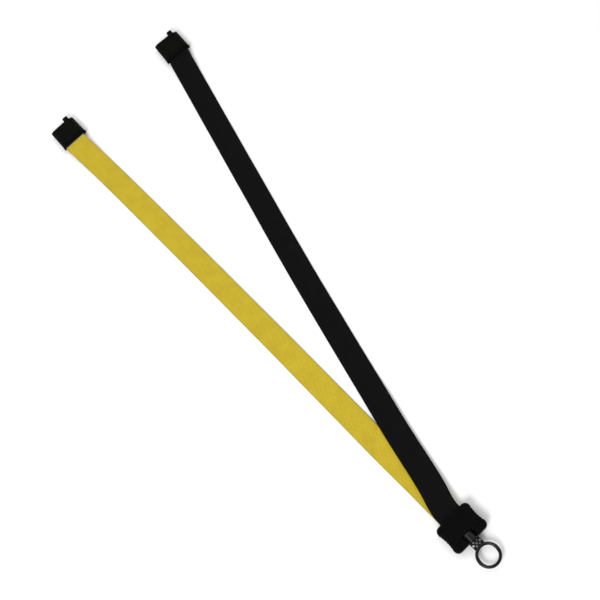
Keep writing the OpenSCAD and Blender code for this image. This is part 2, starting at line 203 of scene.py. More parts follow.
def tube(name, radii, x=0.0, z=0.0, steps=64):
    # turned solid along Y: radii holds (y, radius)
    return loft(name, [[(px, y, pz) for px, pz in circle(radius, x, z, steps)] for y, radius in radii])


def pillar(name, radius, low, high, x=0.0, y=0.0, steps=40):
    return prism(name, circle(radius, x, y, steps), low, high)


# materials


def newMaterial(name):
    material = bpy.data.materials.new(name)
    material.use_nodes = True
    nodes = material.node_tree.nodes
    return material, nodes, material.node_tree.links, nodes["Principled BSDF"]


def node(nodes, kind, **values):
    made = nodes.new(kind)
    for key, value in values.items():
        if hasattr(made, key):
            setattr(made, key, value)
        else:
            made.inputs[key.replace("_", " ")].default_value = value
    return made


def colourRamp(nodes, links, source, stops):
    ramp = nodes.new("ShaderNodeValToRGB")
    while len(ramp.color_ramp.elements) < len(stops):
        ramp.color_ramp.elements.new(0.5)
    for element, (position, colour) in zip(ramp.color_ramp.elements, stops):
        element.position = position
        element.color = (*colour, 1)
    links.new(source, ramp.inputs["Fac"])
    return ramp


def scaled(colour, factor):
    return tuple(channel * factor for channel in colour)


# each webbing colour holds a painted shade factor for the dips between yarns and a painted highlight factor
# for the yarn crests
webbingLook = {
    "black": {
        "yarn": (0.0032, 0.0032, 0.0034), "gapShade": 0.25, "light": 2.4,
        "sheen": 0.015, "specular": 0.05,
    },
    "yellow": {
        "yarn": (0.54, 0.405, 0.026), "gapShade": 0.55, "light": 1.14,
        "sheen": 0.08, "specular": 0.12,
    },
    "roughness": 0.78,
    "yarnWidth": 0.96,  # mm
    "yarnStep": 0.84,
    "fibres": 9.0,  # fine lines to a millimetre
    "bump": 0.05,  # mm
    "selvedge": 0.72,  # painted shade on the rounded edges, from and to these distances off the middle
    "selvedgeFrom": 11.3,
    "selvedgeTo": 12.3,
}


def webbingMaterial(name, look):
    material, nodes, links, shader = newMaterial(name)
    shader.inputs["Roughness"].default_value = webbingLook["roughness"]
    shader.inputs["Specular IOR Level"].default_value = look["specular"]
    shader.inputs["Sheen Weight"].default_value = look["sheen"]
    shader.inputs["Sheen Roughness"].default_value = 0.45
    spot = node(nodes, "ShaderNodeAttribute", attribute_name="strapPlace")
    height = node(nodes, "ShaderNodeAttribute", attribute_name="yarnHeight")
    # colour: painted shade where one yarn dives under the next and a painted highlight on the crest of each
    # yarn, with slow dye variation
    weave = colourRamp(nodes, links, height.outputs["Fac"], [
        (0.0, scaled(look["yarn"], look["gapShade"])),
        (0.45, look["yarn"]),
        (1.0, scaled(look["yarn"], look["light"])),
    ])
    dye = node(nodes, "ShaderNodeTexNoise", Scale=0.07, Detail=3.0, Roughness=0.6)
    links.new(spot.outputs["Vector"], dye.inputs["Vector"])
    tone = colourRamp(nodes, links, dye.outputs["Fac"], [(0.3, (0.88, 0.88, 0.88)), (0.7, (1.0, 1.0, 1.0))])
    tint = nodes.new("ShaderNodeMix")
    tint.data_type = "RGBA"
    tint.blend_type = "MULTIPLY"
    tint.inputs["Factor"].default_value = 1.0
    # painted shade on the selvedges, darker towards the rounded edges
    split = nodes.new("ShaderNodeSeparateXYZ")
    links.new(spot.outputs["Vector"], split.inputs["Vector"])
    away = node(nodes, "ShaderNodeMath", operation="ABSOLUTE")
    links.new(split.outputs["X"], away.inputs[0])
    selvedge = node(
        nodes, "ShaderNodeMapRange",
        From_Min=webbingLook["selvedgeFrom"], From_Max=webbingLook["selvedgeTo"],
        To_Min=1.0, To_Max=webbingLook["selvedge"],
    )
    links.new(away.outputs["Value"], selvedge.inputs["Value"])
    shaded = node(nodes, "ShaderNodeVectorMath", operation="SCALE")
    links.new(tone.outputs["Color"], shaded.inputs["Vector"])
    links.new(selvedge.outputs["Result"], shaded.inputs["Scale"])
    links.new(weave.outputs["Color"], tint.inputs["A"])
    links.new(shaded.outputs["Vector"], tint.inputs["B"])
    links.new(tint.outputs["Result"], shader.inputs["Base Color"])
    # fibres: fine lines along each yarn, broken up by noise
    stretch = node(nodes, "ShaderNodeMapping")
    stretch.inputs["Scale"].default_value = (webbingLook["fibres"], 0.6, 1.0)
    links.new(spot.outputs["Vector"], stretch.inputs["Vector"])
    fibres = node(nodes, "ShaderNodeTexNoise", Scale=1.0, Detail=2.0)
    links.new(stretch.outputs["Vector"], fibres.inputs["Vector"])
    bump = node(nodes, "ShaderNodeBump", Strength=0.5, Distance=webbingLook["bump"] * mm)
    links.new(fibres.outputs["Fac"], bump.inputs["Height"])
    links.new(bump.outputs["Normal"], shader.inputs["Normal"])
    return material


mouldedLook = {
    "block": {
        "colour": (0.0009, 0.0009, 0.0010), "worn": 7.0, "rough": (0.40, 0.55), "specular": 0.05,
        "grain": 2800, "depth": 0.06,
    },
    "ring": {
        "colour": (0.0020, 0.0020, 0.0021), "worn": 4.0, "rough": (0.22, 0.32), "specular": 0.30,
        "grain": 3200, "depth": 0.006,
    },
    "clip": {
        "colour": (0.0014, 0.0014, 0.0009), "worn": 6.0, "rough": (0.42, 0.58), "specular": 0.045,
        "grain": 2800, "depth": 0.06,
    },
}


def mouldedMaterial(name, look):
    # textured moulding, rubbed a little lighter on its edges
    material, nodes, links, shader = newMaterial(name)
    shader.inputs["Specular IOR Level"].default_value = look["specular"]
    where = nodes.new("ShaderNodeTexCoord")
    edge = node(nodes, "ShaderNodeAttribute", attribute_name="rubbed")
    scuffs = node(nodes, "ShaderNodeTexNoise", Scale=420.0, Detail=6.0, Roughness=0.7)
    links.new(where.outputs["Object"], scuffs.inputs["Vector"])
    patchy = colourRamp(nodes, links, scuffs.outputs["Fac"], [(0.42, (0, 0, 0)), (0.62, (1, 1, 1))])
    wear = node(nodes, "ShaderNodeMath", operation="MULTIPLY")
    links.new(edge.outputs["Fac"], wear.inputs[0])
    links.new(patchy.outputs["Color"], wear.inputs[1])
    colour = nodes.new("ShaderNodeMix")
    colour.data_type = "RGBA"
    colour.inputs["A"].default_value = (*look["colour"], 1)
    colour.inputs["B"].default_value = (*scaled(look["colour"], look["worn"]), 1)
    links.new(wear.outputs["Value"], colour.inputs["Factor"])
    links.new(colour.outputs["Result"], shader.inputs["Base Color"])
    sheen = node(nodes, "ShaderNodeTexNoise", Scale=160.0, Detail=4.0)
    links.new(where.outputs["Object"], sheen.inputs["Vector"])
    rough = node(nodes, "ShaderNodeMapRange", To_Min=look["rough"][0], To_Max=look["rough"][1])
    links.new(sheen.outputs["Fac"], rough.inputs["Value"])
    links.new(rough.outputs["Result"], shader.inputs["Roughness"])
    grain = node(nodes, "ShaderNodeTexNoise", Scale=float(look["grain"]), Detail=2.0)
    links.new(where.outputs["Object"], grain.inputs["Vector"])
    bump = node(nodes, "ShaderNodeBump", Strength=0.4, Distance=look["depth"] * mm)
    links.new(grain.outputs["Fac"], bump.inputs["Height"])
    links.new(bump.outputs["Normal"], shader.inputs["Normal"])
    return material


def metalMaterial(name, colour):
    # zinc-plated steel with fine turning marks and dull patches
    material, nodes, links, shader = newMaterial(name)
    shader.inputs["Metallic"].default_value = 1.0
    where = nodes.new("ShaderNodeTexCoord")
    patches = node(nodes, "ShaderNodeTexNoise", Scale=600.0, Detail=5.0)
    links.new(where.outputs["Object"], patches.inputs["Vector"])
    tones = [(0.35, scaled(colour, 0.75)), (0.65, colour)]
    plating = colourRamp(nodes, links, patches.outputs["Fac"], tones)
    links.new(plating.outputs["Color"], shader.inputs["Base Color"])
    rough = node(nodes, "ShaderNodeMapRange", To_Min=0.22, To_Max=0.42)
    links.new(patches.outputs["Fac"], rough.inputs["Value"])
    links.new(rough.outputs["Result"], shader.inputs["Roughness"])
    marks = node(nodes, "ShaderNodeTexNoise", Scale=4000.0, Detail=2.0)
    links.new(where.outputs["Object"], marks.inputs["Vector"])
    bump = node(nodes, "ShaderNodeBump", Strength=0.3, Distance=0.01 * mm)
    links.new(marks.outputs["Fac"], bump.inputs["Height"])
    links.new(bump.outputs["Normal"], shader.inputs["Normal"])
    return material


def nylonMaterial(name, colour):
    material, nodes, links, shader = newMaterial(name)
    where = nodes.new("ShaderNodeTexCoord")
    clouds = node(nodes, "ShaderNodeTexNoise", Scale=500.0, Detail=4.0)
    links.new(where.outputs["Object"], clouds.inputs["Vector"])
    tone = colourRamp(nodes, links, clouds.outputs["Fac"], [(0.3, scaled(colour, 0.85)), (0.7, colour)])
    links.new(tone.outputs["Color"], shader.inputs["Base Color"])
    rough = node(nodes, "ShaderNodeMapRange", To_Min=0.35, To_Max=0.55)
    links.new(clouds.outputs["Fac"], rough.inputs["Value"])
    links.new(rough.outputs["Result"], shader.inputs["Roughness"])
    return material


materials = {
    "black_webbing": webbingMaterial("blackWebbing", webbingLook["black"]),
    "yellow_webbing": webbingMaterial("yellowWebbing", webbingLook["yellow"]),
    "block_plastic": mouldedMaterial("blockPlastic", mouldedLook["block"]),
    "ring_plastic": mouldedMaterial("ringPlastic", mouldedLook["ring"]),
    "clip_plastic": mouldedMaterial("clipPlastic", mouldedLook["clip"]),
    "steel": metalMaterial("platedSteel", (0.62, 0.62, 0.60)),
    "washer_nylon": nylonMaterial("greyNylon", (0.035, 0.035, 0.036)),
}


def markRubbed(mesh):
    # how far each face is worn: the tighter it curves outward, the more
    shape = bmesh.new()
    shape.from_mesh(mesh)
    shape.faces.ensure_lookup_table()
    bend = np.zeros(len(shape.faces))
    for edge in shape.edges:
        if len(edge.link_faces) == 2:
            turn = edge.calc_face_angle_signed(0.0) * edge.calc_length()
            for face in edge.link_faces:
                bend[face.index] += turn / 4
    area = np.array([max(face.calc_area(), 1e-12) for face in shape.faces])
    shape.free()
    curve = bend / area * mm  # to a millimetre
    worn = np.clip((curve - 0.35) / 0.75, 0, 1)
    mesh.attributes.new("rubbed", "FLOAT", "FACE").data.foreach_set("value", worn.astype(np.float32))


def finish(piece, slot):
    if slot.endswith("plastic"):
        markRubbed(piece.data)
    piece.data.materials.clear()
    piece.data.materials.append(materials[slot])


print("materials made")

# sizes that several pieces share, in millimetres
webbing = {"width": 25.0, "thickness": 1.6, "edge": 0.5, "relief": 0.09}
block = {
    "length": 30.0, "width": 40.0, "thickness": 12.4, "corner": 5.0,
    "waist": 0.9, "waistHalf": 9.0,
    "grooves": 6, "groovePitch": 2.9, "grooveRadius": 0.85, "grooveDepth": 0.45,
    "strapX": 0.5, "strapRise": 1.0, "channelDepth": 17.0, "channelHalfHeight": 1.9,
    "notchWidth": 12.4, "notchDepth": 8.3, "notchBreak": 0.6, "screwInset": 4.4,
    "recess": 2.31, "shank": 1.2, "pilot": 1.12,
}
clip = {
    "width": 30.0, "length": 26.0, "thickness": 9.0, "bevel": 3.0, "taper": 0.4, "strapX": -0.9,
    "foldOffset": 2.25, "tipLength": 14.0,
}
clipPlaces = {"black": ((147.0, 567.0, 0.0), 6.0), "yellow": ((1.5, 578.0, 0.0), 2.0)}

# straps: x, y, height of the underside, and 1 where the strap lies over the other one
routes = {
    "yellow": [
        (0.6, 24, 4, 0), (0.6, 32, 3.1, 0), (0.7, 42, 1.9, 0), (0.8, 55, 0.7, 0), (0.7, 70, 0.1, 0),
        (0.5, 92, 0, 0), (0.5, 112, 0, 0), (0.8, 134, 0, 0), (1, 150, 0, 0), (1.2, 170, 0, 0),
        (1.4, 195, 0, 0), (1.7, 222, 0, 0), (2, 250, 0, 0), (2.1, 280, 0, 0), (2.2, 310, 0, 0),
        (2.3, 340, 0, 0), (2.4, 370, 0, 0), (2.4, 400, 0, 0), (2.4, 430, 0, 0), (2.4, 460, 0, 0),
        (2.3, 490, 0, 0), (2.1, 515, 0, 0), (1.8, 535, 0.1, 0), (1.4, 550, 1, 0), (1, 562, 2.3, 0),
        (0.7, 570, 3.3, 0),
    ],
    "black": [
        (1.2, 24, 4.1, 1), (3.2, 32, 3.4, 1), (6.4, 42, 2.3, 1), (9.9, 55, 1.1, 1), (13.4, 70, 0.3, 1),
        (18.3, 92, 0, 1), (23, 112, 0, 1), (28.4, 133, 0, 1), (32.8, 150, 1, 0), (37.8, 170, 0.1, 0),
        (44.1, 195, 0, 0), (51, 222, 0, 0), (58.2, 250, 0, 0), (66, 280, 0, 0), (74.1, 310, 0, 0),
        (82.3, 340, 0, 0), (90.8, 370, 0, 0), (99.2, 400, 0, 0), (107.6, 430, 0, 0), (116.1, 460, 0, 0),
        (124.5, 490, 0, 0), (131.6, 515, 0, 0), (137.2, 535, 0.3, 0), (141.5, 550, 1.7, 0),
        (144, 559, 3, 0),
    ],
}
strapGap = 0.4


def clipPoint(colour, along, across=0.0):
    # a point of a clip at the height of its webbing, in the whole object's frame
    (x, y, _), turn = clipPlaces[colour]
    c, s = math.cos(math.radians(turn)), math.sin(math.radians(turn))
    return Vector((x + across * c + along * s, y - across * s + along * c, clip["thickness"] / 2))


def strapPoints(colour):
    side = 1 if colour == "black" else -1
    z = block["thickness"] / 2 + side * block["strapRise"]
    inner = block["length"] / 2 - block["channelDepth"] + 0.1
    points = [Vector((block["strapX"], y, z)) for y in (inner, 6.0, 12.5, 18.0)]
    for x, y, lift, over in routes[colour]:
        z = lift + over * (webbing["thickness"] + strapGap) + webbing["thickness"] / 2
        points.append(Vector((x, y, z)))
    points += [clipPoint(colour, along, clip["strapX"]) for along in (-3.0, 2.0, 8.0, clip["tipLength"])]
    return points


def smoothLine(points, step):
    # even steps along a curve through the points
    padded = [2 * points[0] - points[1], *points, 2 * points[-1] - points[-2]]
    dense = []
    for a, b, c, d in zip(padded, padded[1:], padded[2:], padded[3:]):
        count = max(2, round((c - b).length / 0.5))
        span = [max((q - p).length, 1e-6) ** 0.5 for p, q in ((a, b), (b, c), (c, d))]
        # tangents that suit the uneven spacing of the points
        first = ((b - a) / span[0] - (c - a) / (span[0] + span[1]) + (c - b) / span[1]) * span[1]
        last = ((c - b) / span[1] - (d - b) / (span[1] + span[2]) + (d - c) / span[2]) * span[1]
        for k in range(count):
            t = k / count
            dense.append(
                b * (2 * t ** 3 - 3 * t ** 2 + 1) + first * (t ** 3 - 2 * t ** 2 + t)
                + c * (3 * t ** 2 - 2 * t ** 3) + last * (t ** 3 - t ** 2)
            )
    dense.append(points[-1].copy())
    line = np.array([tuple(point) for point in dense])
    run = np.concatenate([[0], np.cumsum(np.linalg.norm(np.diff(line, axis=0), axis=1))])
    even = np.linspace(0, run[-1], round(run[-1] / step) + 1)
    return np.stack([np.interp(even, run, line[:, axis]) for axis in range(3)], axis=1), even


def strapFrame(line):
    # level direction across the strap, and the direction out of its upper face
    ahead = np.gradient(line, axis=0)
    ahead /= np.linalg.norm(ahead, axis=1)[:, None]
    window = np.hanning(25)
    window /= window.sum()
    padded = np.pad(ahead, ((12, 12), (0, 0)), mode="edge")
    ahead = np.stack([np.convolve(padded[:, axis], window, mode="valid") for axis in range(3)], axis=1)
    across = np.stack([ahead[:, 1], -ahead[:, 0], np.zeros(len(ahead))], axis=1)
    across /= np.linalg.norm(across, axis=1)[:, None]
    up = np.cross(across, ahead)
    up /= np.linalg.norm(up, axis=1)[:, None]
    return across, up


def webbingColumns():
    # points across one face, two to a yarn
    return round((webbing["width"] - 2 * webbing["edge"]) / webbingLook["yarnWidth"] * 2) + 1


def webbingSection():
    # around the webbing: (across, height share, on a face) with a round selvedge on each side
    flat = webbing["width"] / 2 - webbing["edge"]
    columns = webbingColumns() - 1
    top = [(-flat + 2 * flat * k / columns, 1.0, 1.0) for k in range(columns + 1)]
    side = []
    for k in range(1, 6):
        angle = math.radians(90 - 30 * k)
        side.append((flat + webbing["edge"] * math.cos(angle), math.sin(angle), 0.35))
    right = side
    bottom = [(x, -1.0, 1.0) for x, _, _ in reversed(top)]
    left = [(-x, -height, face) for x, height, face in side]
    return top + right + bottom + left


def strapMesh(name, line, run, across, up, first, last):
    section = np.array(webbingSection())
    x, height, face = section.T
    rows = np.arange(first, last + 1)
    # plain weave: neighbouring yarns cross over half a step apart, and the back has the gaps of the front
    yarn = np.floor((x + 30) / webbingLook["yarnWidth"]) + (height < 0)
    wave = np.cos(math.pi * (run[rows][:, None] / webbingLook["yarnStep"] + yarn[None, :])) * face
    half = webbing["thickness"] / 2 - webbing["relief"]
    lift = height * half + np.sign(height) * wave * webbing["relief"] * (abs(height) > 0.4)
    sideways = across[rows][:, None, :] * x[None, :, None]
    upward = up[rows][:, None, :] * lift[..., None]
    spots = line[rows][:, None, :] + sideways + upward
    places = np.stack(np.broadcast_arrays(x[None, :], run[rows][:, None], height[None, :]), axis=-1)
    count = len(section)
    i, k = np.meshgrid(np.arange(len(rows) - 1), np.arange(count), indexing="ij")
    j = (k + 1) % count
    faces = np.stack([i * count + k, i * count + j, (i + 1) * count + j, (i + 1) * count + k], axis=-1)
    mesh = bpy.data.meshes.new(name)
    mesh.from_pydata((spots * mm).reshape(-1, 3).tolist(), [], faces.reshape(-1, 4).tolist())
    mesh.attributes.new("strapPlace", "FLOAT_VECTOR", "POINT").data.foreach_set(
        "vector", places.astype(np.float32).ravel()
    )
    # the yarn height also sets the painted shade and painted highlight in the weave colour
    mesh.attributes.new("yarnHeight", "FLOAT", "POINT").data.foreach_set(
        "value", (0.5 + 0.5 * wave).astype(np.float32).ravel()
    )
    shape = bmesh.new()
    shape.from_mesh(mesh)
    shape.verts.ensure_lookup_table()
    # ends, in strips between the upper and the lower face
    rounded = (count - 2 * webbingColumns()) // 2
    for base in (0, (len(rows) - 1) * count):
        ring = [shape.verts[base + index] for index in range(count)]
        upper = ring[:webbingColumns()]
        lower = ring[webbingColumns() + rounded:count - rounded][::-1]
        for a, b, c, d in zip(upper, lower, lower[1:], upper[1:]):
            shape.faces.new((a, b, c, d))
        right = [upper[-1], *ring[webbingColumns():webbingColumns() + rounded], lower[-1]]
        left = [lower[0], *ring[count - rounded:], upper[0]]
        shape.faces.new(right)
        shape.faces.new(left)
    bmesh.ops.recalc_face_normals(shape, faces=shape.faces)
    shape.to_mesh(mesh)
    shape.free()
    shadeSmooth(mesh)
    return linkMesh(name, mesh)


# lengths of the two end pieces, step along the strap and half the length of a fold, in mm
strapCuts = {"near": 200.0, "far": 200.0, "step": 0.42, "fold": 2.1}


def makeStrap(colour):
    line, run = smoothLine(strapPoints(colour), strapCuts["step"])
    across, up = strapFrame(line)
    total = run[-1]
    seams = [0, round(strapCuts["near"] / total * (len(run) - 1))]
    seams += [round((1 - strapCuts["far"] / total) * (len(run) - 1)), len(run) - 1]
    strap, clipBody = f"{colour}_strap", f"{colour}_clip"
    mouth = Vector((block["strapX"], block["length"] / 2, line[0][2]))
    exits = [mouth * mm, Vector(line[seams[1]]) * mm, Vector(line[seams[2]]) * mm]
    stands = [(f"{colour}_strap_end", strap), (strap,), (strap, f"{colour}_strap_tip")]
    for part, (first, last, leave, nodes) in enumerate(zip(seams, seams[1:], exits, stands)):
        name = f"{colour}_webbing_{('near', 'middle', 'far')[part]}"
        piece = strapMesh(name, line, run, across, up, first, last)
        finish(piece, f"{colour}_webbing")
        if part == 0:
            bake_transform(piece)
        elif part == 1:
            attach(piece, strap)
        else:
            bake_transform(piece)
        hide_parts(*nodes)
    print(f"{colour} strap made, {total:.0f} mm with its two hidden ends")


makeStrap("yellow")
makeStrap("black")


# grip block


def groovedSide(y):
    # how far the side is cut back at y
    radius = (block["waistHalf"] ** 2 + block["waist"] ** 2) / (2 * block["waist"])
    depth = max(0.0, block["waist"] - y * y / (2 * radius))
    grooves = 0.0
    for i in range(block["grooves"]):
        off = abs(y - (i - (block["grooves"] - 1) / 2) * block["groovePitch"])
        if off < block["grooveRadius"]:
            fall = math.sqrt(block["grooveRadius"] ** 2 - off ** 2)
            grooves = max(grooves, fall - block["grooveRadius"] + block["grooveDepth"])
    return depth, max(0.0, grooves)


blockLook = {
    "panel": 0.8,  # height of the raised panel
    "panelInset": 1.4,
    "panelStart": -8.0,  # the panel stops short of the ring end and leaves a ledge there
    "sideSteps": 120,
    "seam": 0.12,
}


def blockOutline(inset, groove=1.0, low=None):
    # from the lower right corner, against the clock; low moves the end near the ring
    halfWidth = block["width"] / 2 - inset
    halfLength = block["length"] / 2 - inset
    radius = block["corner"] - inset
    straight = block["length"] / 2 - block["corner"]
    sideX, sideY = block["width"] / 2 - block["corner"], straight
    points = []

    def side(sign):
        count = blockLook["sideSteps"]
        for k in range(count + 1):
            y = sign * (-straight + 2 * straight * k / count)
            near = [groovedSide(y + shift) for shift in (-0.12, 0.0, 0.12)]
            waist = sum(item[0] for item in near) / 3
            cuts = sum(item[1] for item in near) / 3
            points.append((sign * (halfWidth - waist - groove * cuts), y))

    def corner(sx, sy, start):
        for k in range(1, 12):
            angle = math.radians(start + 90 * k / 12)
            points.append((sx * sideX + radius * math.cos(angle), sy * sideY + radius * math.sin(angle)))

    def end(sign):
        for k in range(21):
            points.append((sign * (sideX - 2 * sideX * k / 20), sign * halfLength))

    side(1)
    corner(1, 1, 0)
    end(1)
    corner(-1, 1, 90)
    side(-1)
    corner(-1, -1, 180)
    end(-1)
    corner(1, -1, 270)
    if low is None:
        return points
    top = block["length"] / 2 - inset
    share = (top - low) / (2 * top)
    return [(x, top - (top - y) * share) for x, y in points]


def blockShell(name, front):
    middle = block["thickness"] / 2
    step = block["thickness"] - blockLook["panel"]
    seam = blockLook["seam"]
    profile = [  # inset, height, groove share, on the panel
        (0.25, middle, 1.0, False), (0.06, middle + seam, 1.0, False), (0.0, middle + 2 * seam, 1.0, False),
        (0.0, 9.6, 1.0, False), (0.05, 10.4, 0.95, False), (0.18, 10.9, 0.85, False),
        (0.42, 11.3, 0.7, False), (0.75, step - 0.08, 0.4, False), (1.05, step, 0.1, False),
        (blockLook["panelInset"], step, 0.0, False),
        (blockLook["panelInset"] + 0.05, step, 0.0, True), (1.55, step + 0.08, 0.0, True),
        (1.68, step + 0.42, 0.0, True), (1.85, step + 0.66, 0.0, True), (2.15, step + 0.77, 0.0, True),
        (2.6, block["thickness"], 0.0, True),
    ]
    loops = []
    for inset, z, groove, panel in profile:
        low = blockLook["panelStart"] + inset - blockLook["panelInset"] if panel and front else None
        height = z if front else block["thickness"] - z
        loops.append([(x, y, height) for x, y in blockOutline(inset, groove, low)])
    shell = loft(name, loops)
    cut(shell, blockTools(front))
    return shell


def blockTools(front):
    # what both shells leave open: notch, strap channel, and room for the stem and its flange
    z = block["thickness"] / 2
    half = block["length"] / 2
    width, depth = block["notchWidth"], block["notchDepth"]
    notchY = -half + (depth - 2.1) / 2  # the cut runs 2.1 past the block's end
    notch = rectangle(width, depth + 2.1, 0, notchY, 0.5)
    tools = [prism("notch", notch, -1, 14)]
    top = block["thickness"] if front else 0.0
    side = 1 if front else -1
    # the notch's edge on the face is broken by a small chamfer
    edge = block["notchBreak"]
    wider = rectangle(width + 2 * edge, depth + 2.1 + edge, 0, notchY, 0.8)
    tools.append(loft("notchChamfer", [
        [(x, y, top + side * 0.02) for x, y in wider],
        [(x, y, top - side * edge) for x, y in notch],
    ]))
    height = 2 * block["channelHalfHeight"]
    channel = []
    # extra width, extra height, corner and place of each outline from the bottom to the flared mouth
    for wide, high, corner, y in (
        (0.2, 0.0, 0.3, half - block["channelDepth"]), (0.2, 0.0, 0.3, half - 1.9),
        (1.2, 1.2, 0.7, half - 0.6), (2.2, 2.2, 1.1, half + 0.3),
    ):
        mouth = rectangle(webbing["width"] + wide, height + high, block["strapX"], z, corner)
        channel.append([(x, y, level) for x, level in mouth])
    tools.append(loft("channel", channel))
    tools.append(tube("stem", [(-7.2, 2.55), (-4.4, 2.55)], 0, z, 48))
    tools.append(tube("flange", [(-4.5, 4.4), (-2.5, 4.4)], 0, z, 48))
    return tools


def screwPlaces():
    x = block["width"] / 2 - block["screwInset"]
    y = block["length"] / 2 - block["screwInset"]
    return [(sx * x, sy * y) for sx in (-1, 1) for sy in (-1, 1)]


blockCover = blockShell("block_front_shell", True)
blockBase = blockShell("block_back_shell", False)
holes = []
for screwX, screwY in screwPlaces():
    holes.append(pillar("recess", block["recess"], -0.2, 2.0, screwX, screwY))
    holes.append(pillar("shank", block["shank"], 1.0, 7.0, screwX, screwY))
cut(blockBase, holes)
holes = [pillar("pilot", block["pilot"], 5.0, 9.8, screwX, screwY) for screwX, screwY in screwPlaces()]
cut(blockCover, holes)
for shell, cadNode in ((blockCover, "block_cover"), (blockBase, "block_base")):
    soften(shell, 0.2, 3, 40, shortest=0.7)
    finish(shell, "block_plastic")
    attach(shell, "block")
    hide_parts(cadNode)
print("grip block made")


# ring, lattice neck and swivel drum, one moulding

ring = {
    "outer": 24.2, "band": 3.1, "y": -33.4, "pad": 0.4,
    "neckWidth": 11.6, "neckThickness": 2.6, "drum": 5.9, "drumLength": 7.3, "stem": 2.5, "flange": 4.1,
    "pitch": 4.1, "row": 2.15, "latticeY": -18.6, "hole": 1.7, "smallHole": 1.15, "voxel": 0.145,
}


def ringBand():
    z = block["thickness"] / 2
    middle = (ring["outer"] - ring["band"]) / 2
    half = ring["band"] / 2
    rows = []
    turns, around = 120, 20
    for k in range(turns):
        angle = 2 * math.pi * k / turns
        pad = ring["pad"] * max(0.0, (abs(math.cos(angle)) - 0.86) / 0.14) ** 0.6
        row = []
        for j in range(around):
            lean = 2 * math.pi * j / around
            out = half * math.cos(lean)
            if out < 0:
                out *= 1 + pad / half
            radius = middle + out
            x, y = radius * math.cos(angle), ring["y"] + radius * math.sin(angle)
            row.append((x, y, z + half * math.sin(lean)))
        rows.append(row)
    shape = bmesh.new()
    verts = [[shape.verts.new(Vector(point) * mm) for point in row] for row in rows]
    for k in range(turns):
        low, high = verts[k], verts[(k + 1) % turns]
        for j in range(around):
            i = (j + 1) % around
            shape.faces.new((low[j], low[i], high[i], high[j]))
    bmesh.ops.recalc_face_normals(shape, faces=shape.faces)
    mesh = bpy.data.meshes.new("band")
    shape.to_mesh(mesh)
    shape.free()
    return linkMesh("band", mesh)


def diamond(side, x, y):
    reach = side / math.sqrt(2)
    return prism("diamond", [(x + reach, y), (x, y + reach), (x - reach, y), (x, y - reach)], 0, 13)


def makeRing():
    z = block["thickness"] / 2
    top = -block["length"] / 2 + 1
    bottom = ring["y"] + (ring["outer"] - ring["band"]) / 2
    length = top - bottom
    neck = prism(
        "neck", rectangle(ring["neckWidth"], length, 0, (top + bottom) / 2),
        z - ring["neckThickness"] / 2, z + ring["neckThickness"] / 2,
    )
    step = neck.modifiers.new("round", "BEVEL")
    step.width = 0.4 * mm
    step.segments = 3
    applyModifiers(neck)
    tools = [diamond(ring["hole"], i * ring["pitch"], ring["latticeY"]) for i in (-1, 0, 1)]
    for i in (-0.5, 0.5):
        for row in (-1, 1):
            y = ring["latticeY"] + row * ring["row"]
            tools.append(diamond(ring["smallHole"], i * ring["pitch"], y))
    cut(neck, tools)
    start = -block["length"] / 2
    r = ring["drum"]
    drum = tube("drum", [
        (start, r - 0.5), (start + 0.15, r - 0.15), (start + 0.5, r),
        (start + ring["drumLength"] - 0.4, r), (start + ring["drumLength"], r - 0.4),
    ], 0, z, 96)
    stem = tube("stem", [(start + 1, ring["stem"]), (-3.5, ring["stem"])], 0, z)
    flange = tube("flange", [(-4.4, ring["flange"]), (-2.6, ring["flange"])], 0, z)
    band = ringBand()
    combine(band, [neck, drum, stem, flange], "UNION")
    step = band.modifiers.new("grid", "REMESH")
    step.mode = "VOXEL"
    step.voxel_size = ring["voxel"] * mm
    step = band.modifiers.new("melt", "SMOOTH")
    step.factor = 0.5
    step.iterations = 5
    applyModifiers(band)
    shadeSmooth(band.data)
    band.name = "ring_on_lattice_neck"
    finish(band, "ring_plastic")
    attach(band, "ring")
    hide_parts("ring_swivel")
    print(f"ring made, {len(band.data.polygons)} faces")


makeRing()


# end clips: two bevelled shells and a peg on each


clipLook = {
    # inset from the outline, height above the parting plane
    "profile": [
        (0.22, 0.0), (0.06, 0.1), (0.0, 0.25), (0.0, 0.95), (0.03, 1.2), (0.12, 1.45),
        (0.28, 1.7), (0.5, 1.98), (1.5, 2.99), (2.4, 3.89), (2.66, 4.12), (2.92, 4.3),
        (3.25, 4.43), (3.7, 4.49), (4.4, 4.5),
    ],
    # along the strap, height of the raised lip
    "lip": [(0.0, 0.16), (0.1, 0.27), (0.3, 0.35), (1.15, 0.35), (1.35, 0.28), (1.5, 0.12), (1.6, -0.15)],
    "corner": 0.7,
    "farBevel": 0.4,  # the far end's bevel as a share of the others
}


def roundCorners(outline, radius, steps=4):
    points = []
    for before, here, after in zip(outline[-1:] + outline[:-1], outline, outline[1:] + outline[:1]):
        here = Vector(here)
        back, on = Vector(before) - here, Vector(after) - here
        reach = min(radius / math.tan(back.angle(on) / 2), back.length * 0.45, on.length * 0.45)
        start = here + back.normalized() * reach
        stop = here + on.normalized() * reach
        for k in range(steps + 1):
            t = k / steps
            points.append(tuple(start * (1 - t) ** 2 + here * 2 * t * (1 - t) + stop * t ** 2))
    return points


def clipOutline(inset):
    near = clip["width"] / 2 - inset
    far = near - clip["taper"]
    end = clip["length"] - inset * clipLook["farBevel"]
    return roundCorners([
        (-near, inset), (near, inset), (far, end - 1.2),
        (far - 3.5, end), (-far + 0.6, end), (-far, end - 0.6),
    ], clipLook["corner"])


